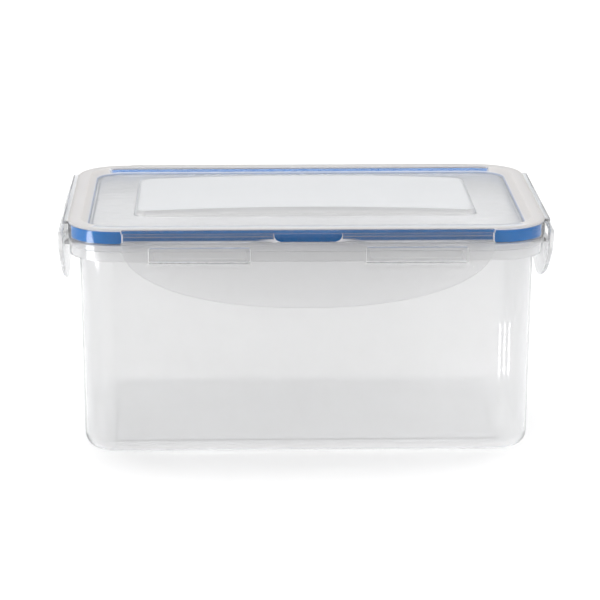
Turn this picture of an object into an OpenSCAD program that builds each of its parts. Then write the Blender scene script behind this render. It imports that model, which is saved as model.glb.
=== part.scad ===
// Rectangular food container with a four-side snap lid.
// A clear tub with a skirted rim, a lid with a recessed panel and a domed window,
// a hollow sealing gasket in the lid's channel, and four latch flaps that hang from
// the lid's ledges on moulded strap hinges.
// +X runs along the long side, +Y to the rear, +Z up; the origin is under the base's centre.

/* [Lid] */
// Length over the lid's outer wall
lid_length = 196; // [170:1:240]
// Depth over the lid's outer wall
lid_depth = 125; // [110:1:160]
// Corner radius of the lid's outer wall, seen from above
lid_corner_r = 20; // [20:1:24]
// Height of the lid's flat ring above the ground
ring_top = 97.4; // [80:0.1:140]
// Width of the flat ring
ring_w = 5.3; // [5:0.1:6]
// Thickness of the lid's walls
lid_wall = 1.2; // [1:0.1:1.4]
// Height of the lid's outer wall
lid_wall_h = 7; // [7:0.1:7.5]
// Depth of the lid's panel below the ring
panel_drop = 2.1; // [1.8:0.1:2.3]
// Run of the slope between ring and panel
panel_slope_run = 3.4; // [3:0.1:3.6]
// Thickness of the lid's panel
panel_t = 1.5; // [1.2:0.1:1.6]

/* [Window in the lid] */
// Length of the domed window
window_length = 143; // [100:1:150]
// Depth of the domed window
window_depth = 65; // [50:1:75]
// Corner radius of the domed window
window_corner_r = 6; // [3:0.5:10]
// Height of the window's short edges above the ring
window_edge_rise = 0.2; // [0:0.1:1]
// Height of the window's crown above its short edges
window_crown = 1.6; // [0.5:0.1:3]

/* [Tub] */
// Thickness of the tub's walls and floor
tub_wall = 1.4; // [1.2:0.1:1.6]
// Distance from the lid's outer wall in to the tub's wall, at the rim
tub_inset = 4.7; // [4.6:0.1:4.8]
// Draft of the tub's walls, in degrees
tub_draft = 0.7; // [0.3:0.1:1]
// Radius between the tub's walls and floor
base_fillet_r = 10; // [6:0.5:11]
// Rise of the base's centre above the foot ring
base_rise = 0.8; // [0.4:0.1:1]
// Height of the rim's skirt
skirt_h = 6.8; // [6:0.1:8]

/* [Latches] */
// Width of the front and rear latches
long_latch_w = 151.4; // [120:0.2:152]
// Width of the side latches
short_latch_w = 90; // [60:0.2:90]
// Length of the front and rear latches below the hinge
long_latch_drop = 27.6; // [24:0.1:32]
// Length of the side latches below the hinge
short_latch_drop = 29.6; // [24:0.1:32]
// Thickness of the latches
latch_t = 2; // [1.6:0.1:2.2]
// How much thinner the latches are at their feet
latch_taper = 0.8; // [0:0.1:0.8]
// Length of each snap window in the long latches
long_snap_w = 41; // [30:1:46]
// Length of each snap window in the short latches
short_snap_w = 25; // [16:1:28]
// Height of the snap windows
snap_h = 6.2; // [5.5:0.1:6.5]
// Width of the gap between the two hinge straps
hinge_notch_w = 27; // [16:1:34]

/* [Hidden] */
$fn = 64;
EPS = 0.4;
half_len = lid_length / 2;
half_dep = lid_depth / 2;
run_x = half_len - lid_corner_r;
run_y = half_dep - lid_corner_r;

// Lid heights, downwards from the ring
lid_foot = ring_top - lid_wall_h;
ring_under = ring_top - lid_wall - 0.1;
panel_top = ring_top - panel_drop;
panel_under = panel_top - panel_t;
panel_edge = ring_w + panel_slope_run;
plug_out = panel_edge - 0.2;
plug_in = plug_out + lid_wall;
plug_foot = lid_foot - 0.8;
ring_edge_r = 0.8;

// Ledges that carry the latches, and the latches' own planes
ledge_out = 2.2;
ledge_top = ring_top - 0.4;
ledge_t = 1.5;
ledge_foot = ledge_top - ledge_t;
latch_in = 2.4;
latch_out = latch_in + latch_t;
latch_neck_t = 1;
latch_top = ring_top - 5;
snap_top = ring_top - 7.4;
snap_foot = snap_top - snap_h;
outline_steps = 32;
long_outline_power = 2.2;
short_outline_power = 1.7;
pad_out = 0.35;
pad_under = 2.4;

// Strap hinge
strap_t = 0.6;
strap_in = latch_in + 0.1;
strap_seat_in = ledge_out - strap_t;

// Tub
flange_top = lid_foot - 0.2;
skirt_foot = flange_top - skirt_h;
skirt_step = skirt_foot + 4.1;
skirt_out = 0.6;
band_out = 0.2;
skirt_t = 1.3;
flange_t = 1.3;
lip_top = lid_foot + 2.3;
lip_edge = 0.3;
floor_top = tub_wall;
foot_edge = 18.3;
foot_slope = 0.7;
gate_r = 2.5;
fillet_steps = 8;

// Snap ribs on the tub's skirt
rib_out = 2.15;
rib_foot = snap_foot + 0.6;
rib_h = 3.6;
rib_tip_h = 1.2;
rib_play = 1.5;
long_snap_x = 44;
short_snap_x = 23.5;

// Gasket
seal_play = 0.1;
seal_foot = lid_foot + 0.4;
seal_groove_top = lip_top + 0.3;
seal_groove_play = 0.3;
seal_core_wall = 1.2;

// Distance from the lid's outer wall in to the tub's outer face, at a height
function tub_face(z) = tub_inset + tan(tub_draft) * (skirt_foot - z);

// Points of an arc round [x, z], from one angle to another
function arc(x, z, r, from, to, steps) = [
    for (i = [0:steps]) let (a = from + (to - from) * i / steps) [x + r * cos(a), z + r * sin(a)]
];

// Points of a latch's outline below its hinge, from the right end round to the left
function latch_outline(w, drop, power) = [
    for (i = [0:outline_steps])
        let (a = 180 * i / outline_steps, c = cos(a), s = sin(a))
            [sign(c) * w / 2 * pow(abs(c), 2 / power), latch_top - drop * pow(s, 2 / power)]
];

// Sweeps a section once round the lid's outline: the section's x is the distance
// outwards from the lid's outer wall, and its y is the height
module around() {
    for (turn = [0, 180])
        rotate([0, 0, turn]) translate([-run_x, half_dep, 0]) rotate([90, 0, 90])
            linear_extrude(2 * run_x) children();
    for (turn = [90, 270])
        rotate([0, 0, turn]) translate([-run_y, half_len, 0]) rotate([90, 0, 90])
            linear_extrude(2 * run_y) children();
    for (corner = [[1, 1, 0], [-1, 1, 90], [-1, -1, 180], [1, -1, 270]])
        translate([corner[0] * run_x, corner[1] * run_y, 0]) rotate([0, 0, corner[2]])
            rotate_extrude(angle = 90) translate([lid_corner_r, 0]) children();
}

// A plate that fills the middle of a swept section
module middle(low, high) {
    translate([-run_x, -run_y, low]) cube([2 * run_x, 2 * run_y, high - low]);
}

// Extrudes a section (distance outwards, height) along a side, centred on it
module along_side(length) {
    rotate([90, 0, 90]) translate([0, 0, -length / 2]) linear_extrude(length) children();
}

module rounded_plate(w, d, r, low, high) {
    translate([0, 0, low]) linear_extrude(high - low) union() {
        square([w, d - 2 * r], center = true);
        square([w - 2 * r, d], center = true);
        for (x = [-1, 1], y = [-1, 1]) translate([x * (w / 2 - r), y * (d / 2 - r)]) circle(r);
    }
}

// Section of the tub: base, fillet, wall, sealing lip, flange and skirt
module tub_section() {
    face_low = tub_face(base_fillet_r);
    face_lip = tub_inset;
    arc_x = -face_low - base_fillet_r;
    inner_r = base_fillet_r - tub_wall;
    polygon(concat(
        [[-lid_corner_r, base_rise], [-foot_edge, base_rise], [-foot_edge + foot_slope, 0]],
        arc(arc_x, base_fillet_r, base_fillet_r, -90, 0, fillet_steps),
        [
            [-face_lip, skirt_foot], [-face_lip, flange_top - flange_t],
            [-skirt_out - skirt_t, flange_top - flange_t], [-skirt_out - skirt_t, skirt_foot],
            [-skirt_out, skirt_foot], [-skirt_out, skirt_step],
            [-band_out, skirt_step + EPS], [-band_out, flange_top],
            [-face_lip, flange_top], [-face_lip, lip_top - lip_edge],
            [-face_lip - lip_edge, lip_top], [-face_lip - tub_wall + lip_edge, lip_top],
            [-face_lip - tub_wall, lip_top - lip_edge], [-face_lip - tub_wall, skirt_foot]
        ],
        arc(arc_x, base_fillet_r, inner_r, 0, -90, fillet_steps),
        [
            [-foot_edge + foot_slope, floor_top], [-foot_edge, floor_top + base_rise],
            [-lid_corner_r, floor_top + base_rise]
        ]
    ));
}

// Section of a snap rib: a ramp above and a square shoulder below
module rib_section() {
    polygon([
        [-skirt_out - EPS, rib_foot], [rib_out, rib_foot], [rib_out, rib_foot + rib_tip_h],
        [-skirt_out, rib_foot + rib_h], [-skirt_out - EPS, rib_foot + rib_h]
    ]);
}

module side_ribs(turn, reach, snap_w, snap_x) {
    rotate([0, 0, turn]) for (side = [-1, 1])
        translate([side * snap_x, reach, 0]) along_side(snap_w - 2 * rib_play) rib_section();
}

module tub() {
    color([0.86, 0.88, 0.89, 0.45]) {
        around() tub_section();
        middle(base_rise, floor_top + base_rise);
        translate([0, 0, base_rise / 2]) cylinder(h = base_rise, r = gate_r);
        for (turn = [0, 180]) side_ribs(turn, half_dep, long_snap_w, long_snap_x);
        for (turn = [90, 270]) side_ribs(turn, half_len, short_snap_w, short_snap_x);
    }
}

// Section of the lid: outer wall, flat ring, slope, panel and inner plug rib
module lid_section() {
    slope_under = ring_w - 0.2;
    polygon(concat(
        [[0, lid_foot]],
        arc(-ring_edge_r, ring_top - ring_edge_r, ring_edge_r, 0, 90, 3),
        [
            [-ring_w, ring_top], [-panel_edge, panel_top], [-lid_corner_r, panel_top],
            [-lid_corner_r, panel_under], [-plug_in, panel_under], [-plug_in, plug_foot],
            [-plug_out, plug_foot],
            [-plug_out, ring_under - (plug_out - slope_under) * panel_drop / panel_slope_run],
            [-slope_under, ring_under], [-lid_wall, ring_under], [-lid_wall, lid_foot]
        ]
    ));
}

// Profile of the domed window, seen from the front, down to a given height
module dome_profile(w, edge_z, low) {
    dome_r = (w * w / 4 + window_crown * window_crown) / (2 * window_crown);
    spread = asin(w / 2 / dome_r);
    centre_z = edge_z + window_crown - dome_r;
    polygon(concat(
        arc(0, centre_z, dome_r, 90 - spread, 90 + spread, 16),
        [[-w / 2, low], [w / 2, low]]
    ));
}

module dome(inset, edge_z, low) {
    w = window_length - 2 * inset;
    d = window_depth - 2 * inset;
    intersection() {
        rounded_plate(w, d, window_corner_r - inset, low - 1, edge_z + window_crown + 1);
        rotate([90, 0, 0]) translate([0, 0, -d / 2 - 1]) linear_extrude(d + 2)
            dome_profile(w, edge_z, low);
    }
}

module ledge(turn, reach, w) {
    rotate([0, 0, turn]) translate([0, reach, 0]) along_side(w) polygon([
        [-lid_wall / 2, ledge_foot], [ledge_out, ledge_foot],
        [ledge_out, ledge_top - EPS], [ledge_out - EPS, ledge_top], [-lid_wall / 2, ledge_top]
    ]);
}

module lid() {
    edge_z = ring_top + window_edge_rise;
    color([0.9, 0.91, 0.92, 0.5]) difference() {
        union() {
            around() lid_section();
            middle(panel_under, panel_top);
            dome(0, edge_z, panel_under + EPS);
            for (turn = [0, 180]) ledge(turn, half_dep, long_latch_w);
            for (turn = [90, 270]) ledge(turn, half_len, short_latch_w);
        }
        dome(lid_wall, edge_z - lid_wall, panel_under - 1);
    }
}

// Section of the gasket: a hollow ring with a groove for the tub's lip
module gasket_section() {
    outer = lid_wall + seal_play;
    inner = plug_out - seal_play;
    bend = ring_w - 0.1;
    top = ring_under - seal_play;
    inner_top = top - (inner - bend) * panel_drop / panel_slope_run;
    groove_out = tub_inset - seal_groove_play;
    groove_in = tub_inset + tub_wall + seal_groove_play;
    core_foot = seal_groove_top + seal_core_wall - 0.3;
    difference() {
        polygon([
            [-outer, seal_foot], [-outer, top], [-bend, top], [-inner, inner_top],
            [-inner, seal_foot], [-groove_in, seal_foot], [-groove_in, seal_groove_top],
            [-groove_out, seal_groove_top], [-groove_out, seal_foot]
        ]);
        polygon([
            [-outer - seal_core_wall, core_foot], [-outer - seal_core_wall, top - 0.9],
            [-bend, top - 0.9], [-groove_in - 0.3, core_foot + 0.2], [-groove_in - 0.3, core_foot]
        ]);
    }
}

module gasket() {
    color([0.14, 0.42, 0.7]) around() gasket_section();
}

// Profile of a latch seen from its end: thin at the hinge, a raised pad round the windows,
// and a lower part that thins towards its foot
module latch_profile(drop) {
    foot = latch_top - drop;
    polygon([
        [latch_in, foot], [latch_out - pad_out - latch_taper, foot],
        [latch_out - pad_out, snap_foot - pad_under], [latch_out, snap_foot - pad_under + 0.4],
        [latch_out, snap_top + 0.8], [latch_in + latch_neck_t, latch_top], [latch_in, latch_top]
    ]);
}

module latch(turn, reach, w, drop, power, snap_w, snap_x) {
    thick = latch_t + 2;
    rotate([0, 0, turn]) translate([0, reach, 0]) difference() {
        intersection() {
            along_side(w + 2) latch_profile(drop);
            translate([0, latch_out + 1, 0]) rotate([90, 0, 0])
                linear_extrude(thick) polygon(latch_outline(w, drop, power));
        }
        for (side = [-1, 1])
            translate([side * snap_x - snap_w / 2, latch_in - 1, snap_foot])
                cube([snap_w, thick, snap_h]);
    }
}

module front_latch() {
    color([0.9, 0.91, 0.92, 0.4])
        latch(180, half_dep, long_latch_w, long_latch_drop, long_outline_power, long_snap_w, long_snap_x);
}

module rear_latch() {
    color([0.9, 0.91, 0.92, 0.4])
        latch(0, half_dep, long_latch_w, long_latch_drop, long_outline_power, long_snap_w, long_snap_x);
}

module left_latch() {
    color([0.9, 0.91, 0.92, 0.4])
        latch(90, half_len, short_latch_w, short_latch_drop, short_outline_power, short_snap_w, short_snap_x);
}

module right_latch() {
    color([0.9, 0.91, 0.92, 0.4])
        latch(270, half_len, short_latch_w, short_latch_drop, short_outline_power, short_snap_w, short_snap_x);
}

// Two straps from a ledge's foot down to its latch, one each side of the notch
module hinge_straps(turn, reach, w) {
    strap_w = (w - hinge_notch_w) / 2 - 1;
    middle_x = (hinge_notch_w + strap_w) / 2;
    color([0.9, 0.91, 0.92, 0.5]) rotate([0, 0, turn]) for (side = [-1, 1])
        translate([side * middle_x, reach, 0]) along_side(strap_w) polygon([
            [strap_in, latch_top], [strap_in + strap_t, latch_top],
            [strap_seat_in + strap_t, ledge_foot], [strap_seat_in, ledge_foot]
        ]);
}

module front_hinge_straps() {
    hinge_straps(180, half_dep, long_latch_w);
}

module rear_hinge_straps() {
    hinge_straps(0, half_dep, long_latch_w);
}

module left_hinge_straps() {
    hinge_straps(90, half_len, short_latch_w);
}

module right_hinge_straps() {
    hinge_straps(270, half_len, short_latch_w);
}

tub();
lid();
gasket();
front_latch();
rear_latch();
left_latch();
right_latch();
front_hinge_straps();
rear_hinge_straps();
left_hinge_straps();
right_hinge_straps();
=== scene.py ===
# %% [markdown]
# # A clear food container with a snap lid
# The object is a see-through polypropylene tub with a lid that snaps down on all four
# sides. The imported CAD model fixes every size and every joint, so this lesson starts by
# loading it as a frame, and then makes the pieces that are looked at: smooth mouldings
# with rounded edges, and plastics that let light through.

# %% Load the frame
import math

import bmesh
import bpy
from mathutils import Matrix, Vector


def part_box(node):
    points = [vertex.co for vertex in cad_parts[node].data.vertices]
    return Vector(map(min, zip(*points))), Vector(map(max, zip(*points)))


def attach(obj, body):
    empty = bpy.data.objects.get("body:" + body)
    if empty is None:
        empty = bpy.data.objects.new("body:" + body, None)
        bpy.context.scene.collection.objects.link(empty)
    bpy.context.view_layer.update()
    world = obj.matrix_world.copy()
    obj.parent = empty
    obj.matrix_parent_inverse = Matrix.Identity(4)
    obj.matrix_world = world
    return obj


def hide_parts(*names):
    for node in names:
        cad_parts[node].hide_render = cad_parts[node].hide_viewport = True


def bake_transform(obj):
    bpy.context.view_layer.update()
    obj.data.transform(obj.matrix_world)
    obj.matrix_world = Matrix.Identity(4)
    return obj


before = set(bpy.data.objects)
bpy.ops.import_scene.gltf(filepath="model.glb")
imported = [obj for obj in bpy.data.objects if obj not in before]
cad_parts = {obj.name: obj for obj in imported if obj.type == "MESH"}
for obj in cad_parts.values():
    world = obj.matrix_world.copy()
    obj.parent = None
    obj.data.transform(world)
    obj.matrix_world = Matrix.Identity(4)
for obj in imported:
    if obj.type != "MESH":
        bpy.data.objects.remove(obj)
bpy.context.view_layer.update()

# %% [markdown]
# Every place on the lid and the tub can be told from the lid's own outline, because a
# moulded rim keeps the same cross-section all the way round. So the sizes are kept as the
# outline's half length, half depth and corner radius, and each cross-section is written
# as pairs: how far outwards from the lid's outer wall, and how high. Both are in
# millimetres, and they come from the boxes of the CAD nodes wherever a box tells them.

# %% Sizes taken from the frame
MM = 0.001
tub_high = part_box("tub")[1]
lid_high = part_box("lid")[1]
gasket_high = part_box("gasket")[1]
front_low, front_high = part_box("front_latch")
right_low, right_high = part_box("right_latch")
strap_low, strap_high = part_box("front_hinge_straps")

LEDGE_OUT = 2.2
CORNER_R = 20.0
HALF_LEN = lid_high.x / MM - LEDGE_OUT
HALF_DEP = lid_high.y / MM - LEDGE_OUT
RUN_X = HALF_LEN - CORNER_R
RUN_Y = HALF_DEP - CORNER_R
CROWN_TOP = lid_high.z / MM
RING_TOP = CROWN_TOP - 1.8
print(f"lid outline {2 * HALF_LEN:.1f} x {2 * HALF_DEP:.1f} mm, ring at {RING_TOP:.1f} mm")

# %% [markdown]
# The camera stands a little above the rim and looks down at the front, with a long lens,
# as for a shop picture. A long lens keeps the upright edges nearly parallel.

# %% Camera
LENS, SENSOR = 162.0, 36.0
TILT_DOWN, TURN_RIGHT = 0.257, 0.022
camera_data = bpy.data.cameras.new("camera")
camera_data.lens = LENS
camera_data.sensor_width = SENSOR
camera_data.shift_x = 0.03
camera_data.clip_end = 20.0
camera = bpy.data.objects.new("camera", camera_data)
camera.location = (-0.0339, -1.1241, 0.3465)
camera.rotation_euler = (math.pi / 2 - TILT_DOWN, 0.0, -TURN_RIGHT)
bpy.context.collection.objects.link(camera)
bpy.context.scene.camera = camera
bpy.context.scene.view_settings.view_transform = "Standard"
print("camera:", LENS, "mm lens,", round(camera.location.length, 2), "m from the middle of the base")

# %% [markdown]
# ## Cross-sections
# A moulded edge is never sharp, because the mould's cutter has a radius. A section is
# listed by its corners, each with the radius it is rounded to, and this helper swaps each
# corner for a short run of points on its arc.

# %% Rounding the corners of a section
def rounded(corners, closed, steps=4):
    """Points of a polyline whose corners (x, y, radius) are rounded."""
    count = len(corners)
    points = []
    for i, (x, y, r) in enumerate(corners):
        here = Vector((x, y))
        end = not closed and i in (0, count - 1)
        if r <= 0 or end:
            points.append(here)
            continue
        before = Vector(corners[i - 1][:2]) - here
        after = Vector(corners[(i + 1) % count][:2]) - here
        half = before.angle(after) / 2
        reach = r / math.tan(half)
        reach = min(reach, 0.49 * before.length, 0.49 * after.length)
        radius = reach * math.tan(half)
        a, b = here + before.normalized() * reach, here + after.normalized() * reach
        inward = (before.normalized() + after.normalized()).normalized()
        middle = here + inward * (radius / math.sin(half))
        start, turn = a - middle, (a - middle).angle_signed(b - middle)
        for k in range(steps + 1):
            t = -turn * k / steps
            c, s = math.cos(t), math.sin(t)
            points.append(middle + Vector((start.x * c - start.y * s, start.x * s + start.y * c)))
    return points


square_test = rounded([(0, 0, 1), (4, 0, 1), (4, 4, 1), (0, 4, 1)], True)
print("a rounded square has", len(square_test), "points")

# %% [markdown]
# ## Sweeping a section round the outline
# The tub's wall and the lid's rim are the same kind of surface: a section carried round a
# rounded rectangle. The outline is walked as a list of stations. Each one has a foot on the
# outline and an outward direction, so a section point lands at foot + outwards * distance.
# Where a section reaches in as far as the corner radius, a whole corner meets in one point,
# and what is left open in the middle is a plain rectangle that one plate can close.

# %% Stations round the outline
def spread(low, high, count):
    return [low + (high - low) * i / count for i in range(count + 1)]


def stations(xs, ys, corner_steps=20):
    """(foot x, foot y, outward x, outward y) round the outline, starting at the rear right corner."""
    walk = []
    quarters = ((1, 1, 0), (-1, 1, 90), (-1, -1, 180), (1, -1, 270))
    for q, (sx, sy, start) in enumerate(quarters):
        for i in range(corner_steps + 1):
            a = math.radians(start + 90 * i / corner_steps)
            c, s = math.cos(a), math.sin(a)
            walk.append((sx * RUN_X + CORNER_R * c, sy * RUN_Y + CORNER_R * s, c, s))
        if q == 0:
            walk += [(x, HALF_DEP, 0, 1) for x in reversed(xs[1:-1])]
        elif q == 1:
            walk += [(-HALF_LEN, y, -1, 0) for y in reversed(ys[1:-1])]
        elif q == 2:
            walk += [(x, -HALF_DEP, 0, -1) for x in xs[1:-1]]
        else:
            walk += [(HALF_LEN, y, 1, 0) for y in ys[1:-1]]
    return walk


def sweep(bm, section, walk, closed):
    """Adds the swept faces of a section to a bmesh."""
    rings = []
    for fx, fy, ox, oy in walk:
        places = [((fx + ox * p[0]) * MM, (fy + oy * p[0]) * MM, p[1] * MM) for p in section]
        rings.append([bm.verts.new(place) for place in places])
    last = len(section) if closed else len(section) - 1
    for i, ring in enumerate(rings):
        following = rings[(i + 1) % len(rings)]
        for j in range(last):
            k = (j + 1) % len(section)
            bm.faces.new((ring[j], following[j], following[k], ring[k]))


print("stations:", len(stations(spread(-RUN_X, RUN_X, 8), spread(-RUN_Y, RUN_Y, 6))))

# %% [markdown]
# Every piece is finished in the same way. Vertices that fall together are merged and the
# faces are turned outwards. Curved parts are shaded smoothly, with normals weighted by face
# area so that flat parts stay flat. What comes out of one mould is united into one skin.

# %% Turning a bmesh into a finished piece
def as_object(name, bm, merge=1e-6):
    """Merges doubles, turns the faces outwards and links the result as an object at the origin."""
    bmesh.ops.remove_doubles(bm, verts=bm.verts, dist=merge)
    bmesh.ops.dissolve_degenerate(bm, edges=bm.edges, dist=1e-8)
    bmesh.ops.recalc_face_normals(bm, faces=bm.faces)
    mesh = bpy.data.meshes.new(name)
    bm.to_mesh(mesh)
    bm.free()
    obj = bpy.data.objects.new(name, mesh)
    bpy.context.collection.objects.link(obj)
    return obj


def baked(obj):
    """Swaps an object's mesh for its evaluated one and drops the modifiers."""
    bpy.context.view_layer.update()
    graph = bpy.context.evaluated_depsgraph_get()
    mesh = bpy.data.meshes.new_from_object(obj.evaluated_get(graph))
    obj.modifiers.clear()
    old = obj.data
    obj.data = mesh
    mesh.name = obj.name
    bpy.data.meshes.remove(old)
    return obj


def smooth(obj, angle=35):
    """Shades faces smoothly up to an angle, weighted so that large flat faces stay flat."""
    obj.data.shade_smooth()
    obj.data.set_sharp_from_angle(angle=math.radians(angle))
    weighted = obj.modifiers.new("weighted", "WEIGHTED_NORMAL")
    weighted.keep_sharp = True
    weighted.weight = 100
    baked(obj)
    print(f"{obj.name}: {len(obj.data.polygons)} faces")
    return obj


def joined(base, extras):
    """Unites a solid with others by booleans, so that the moulding is one skin."""
    for extra in extras:
        cut = base.modifiers.new("join", "BOOLEAN")
        cut.operation = "UNION"
        cut.solver = "EXACT"
        cut.object = extra
        baked(base)
        mesh = extra.data
        bpy.data.objects.remove(extra)
        bpy.data.meshes.remove(mesh)
    bm = bmesh.new()
    bm.from_mesh(base.data)
    bmesh.ops.remove_doubles(bm, verts=bm.verts, dist=2e-6)
    bmesh.ops.dissolve_degenerate(bm, edges=bm.edges, dist=1e-7)
    bmesh.ops.holes_fill(bm, edges=[e for e in bm.edges if e.is_boundary], sides=0)
    bm.to_mesh(base.data)
    bm.free()
    return base

# %% [markdown]
# ## The tub
# The tub is one moulding. From the bottom: a base that rises inside a narrow foot ring, a
# generous fillet, walls with a little draft so that it leaves the mould, and a rim. The rim
# has a lip that presses into the gasket and a flange that turns down as a stepped skirt.

# %% The tub's section
TUB_WALL = 1.4
TUB_INSET = 4.7
BASE_R = 10.0
BASE_RISE = 0.8
LID_FOOT = RING_TOP - 7.0
FLANGE_TOP = LID_FOOT - 0.2
SKIRT_FOOT = FLANGE_TOP - 6.8
SKIRT_STEP = SKIRT_FOOT + 4.1
LIP_TOP = tub_high.z / MM
DRAFT = math.tan(math.radians(0.7))
FOOT_RING_IN, FOOT_RING_OUT = 18.3, 17.5
FLANGE_T = 1.3
SKIRT_IN, SKIRT_OUT, FLANGE_OUT = 1.9, 0.6, 0.2


def tub_section():
    """From the middle of the underside, out and up the wall, over the rim and back down inside."""
    low_face = TUB_INSET + DRAFT * SKIRT_FOOT
    neck = -TUB_INSET
    return rounded([
        (-CORNER_R, BASE_RISE, 0), (-FOOT_RING_IN, BASE_RISE, 0.3), (-FOOT_RING_OUT, 0, 0.4),
        (-low_face, 0, BASE_R), (neck, SKIRT_FOOT, 3), (neck, FLANGE_TOP - FLANGE_T, 0.6),
        (-SKIRT_IN, FLANGE_TOP - FLANGE_T, 0.4), (-SKIRT_IN, SKIRT_FOOT, 0.2), (-SKIRT_OUT, SKIRT_FOOT, 0.4),
        (-SKIRT_OUT, SKIRT_STEP, 0.15), (-FLANGE_OUT, SKIRT_STEP + 0.4, 0.2), (-FLANGE_OUT, FLANGE_TOP, 0.25),
        (neck, FLANGE_TOP, 0.2), (neck, LIP_TOP, 0.45), (neck - TUB_WALL, LIP_TOP, 0.45),
        (neck - TUB_WALL, SKIRT_FOOT, 3), (-low_face - TUB_WALL, TUB_WALL, BASE_R - TUB_WALL),
        (-FOOT_RING_OUT, TUB_WALL, 0.4), (-FOOT_RING_IN, TUB_WALL + BASE_RISE, 0.3),
        (-CORNER_R, TUB_WALL + BASE_RISE, 0),
    ], closed=False, steps=6)


TUB_SECTION = tub_section()
print("tub section:", len(TUB_SECTION), "points, lip top at", round(max(p.y for p in TUB_SECTION), 2))

# %% The tub's shell
def make_tub():
    bm = bmesh.new()
    walk = stations(spread(-RUN_X, RUN_X, 12), spread(-RUN_Y, RUN_Y, 8))
    sweep(bm, TUB_SECTION, walk, closed=False)
    bmesh.ops.remove_doubles(bm, verts=bm.verts, dist=1e-6)
    edges = [e for e in bm.edges if e.is_boundary]
    bmesh.ops.holes_fill(bm, edges=edges, sides=0)
    return as_object("tub_shell", bm)


tub = make_tub()

# %% [markdown]
# The plastic enters the mould under the middle of the base, and the gate leaves a small
# round stub there. A lathe shape is a few points spun round, so Spin makes it.

# %% Gate mark
GATE_R = 2.5


def make_gate():
    bm = bmesh.new()
    points = [
        (0, 0.45), (0.9, 0.45), (1.1, 0.6), (GATE_R - 0.3, 0.6), (GATE_R, 0.7), (GATE_R, 1.2), (0, 1.2)]
    line = [bm.verts.new((r * MM, 0, z * MM)) for r, z in points]
    edges = [bm.edges.new(pair) for pair in zip(line, line[1:])]
    bmesh.ops.spin(bm, geom=line + edges, cent=(0, 0, 0), axis=(0, 0, 1), angle=math.tau, steps=32)
    return as_object("gate", bm)


joined(tub, [make_gate()])

# %% [markdown]
# ## Snap ribs
# Two ribs on each side of the skirt catch in the latches' windows. They are the same
# moulded ramp repeated in eight places and two lengths, so a Geometry Nodes tree places
# them: a mesh line gives the places on one side, and the rib is set on each point.

# %% The rib's solid
SNAP_TOP = RING_TOP - 7.4
SNAP_FOOT = SNAP_TOP - 6.2
RIB_FOOT = SNAP_FOOT + 0.6
RIB_OUT, RIB_ROOT = 2.15, -0.9
RIB_CATCH, RIB_H = 1.2, 3.6
RIB_PLAY = 1.5
LONG_SNAP_W, LONG_SNAP_X = 41.0, 44.0
SHORT_SNAP_W, SHORT_SNAP_X = 25.0, 23.5


def make_prism(name, profile, length, end_r):
    """A section (outwards, height) drawn out along x, with its ends rounded over."""
    bm = bmesh.new()
    middle = sum((Vector(p) for p in profile), Vector((0, 0))) / len(profile)
    rows = []
    steps = 4
    slices = [(-length / 2 + end_r * (1 - math.sin(a)), end_r * (1 - math.cos(a)))
              for a in (math.pi / 2 * (1 - k / steps) for k in range(steps + 1))]
    slices += [(-x, inset) for x, inset in reversed(slices)]
    for x, inset in slices:
        row = []
        for p in profile:
            toward = middle - Vector(p)
            q = Vector(p) + toward.normalized() * min(inset, toward.length * 0.8)
            row.append(bm.verts.new((x * MM, q.x * MM, q.y * MM)))
        rows.append(row)
    for a, b in zip(rows, rows[1:]):
        for j in range(len(profile)):
            k = (j + 1) % len(profile)
            bm.faces.new((a[j], b[j], b[k], a[k]))
    bm.faces.new(rows[0])
    bm.faces.new(rows[-1])
    return as_object(name, bm, merge=1e-7)


rib_profile = rounded([
    (RIB_ROOT, RIB_FOOT, 0), (RIB_OUT, RIB_FOOT, 0.25), (RIB_OUT, RIB_FOOT + RIB_CATCH, 0.4),
    (-SKIRT_OUT, RIB_FOOT + RIB_H, 0), (RIB_ROOT, RIB_FOOT + RIB_H, 0),
], closed=True, steps=3)
print("rib profile:", len(rib_profile), "points")

# %% [markdown]
# A Geometry Nodes tree can be written in Python as well as drawn. These helpers make a tree
# with named inputs, add a node and link it in one call, and run the tree on an empty object.

# %% Helpers for Geometry Nodes trees
def new_tree(name, inputs):
    """A tree with named inputs. Returns the tree and its input and output nodes."""
    tree = bpy.data.node_groups.new(name, "GeometryNodeTree")
    for label, kind in inputs:
        tree.interface.new_socket(label, in_out="INPUT", socket_type=kind)
    tree.interface.new_socket("Geometry", in_out="OUTPUT", socket_type="NodeSocketGeometry")
    return tree, tree.nodes.new("NodeGroupInput"), tree.nodes.new("NodeGroupOutput")


def node(tree, kind, links=(), **settings):
    """Adds a node, sets its properties, then its inputs: each gets a value or a linked output."""
    made = tree.nodes.new(kind)
    for key, value in settings.items():
        setattr(made, key, value)
    for socket, value in links:
        target = made.inputs[socket]
        if isinstance(value, bpy.types.NodeSocket):
            tree.links.new(value, target)
        else:
            target.default_value = value
    return made


def grown(name, tree, values):
    """Runs a tree on an empty object and returns the plain mesh object that it makes."""
    obj = bpy.data.objects.new(name, bpy.data.meshes.new(name))
    bpy.context.collection.objects.link(obj)
    modifier = obj.modifiers.new("nodes", "NODES")
    modifier.node_group = tree
    for item in tree.interface.items_tree:
        if item.in_out == "INPUT" and item.name in values:
            modifier[item.identifier] = values[item.name]
    return baked(obj)


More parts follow.
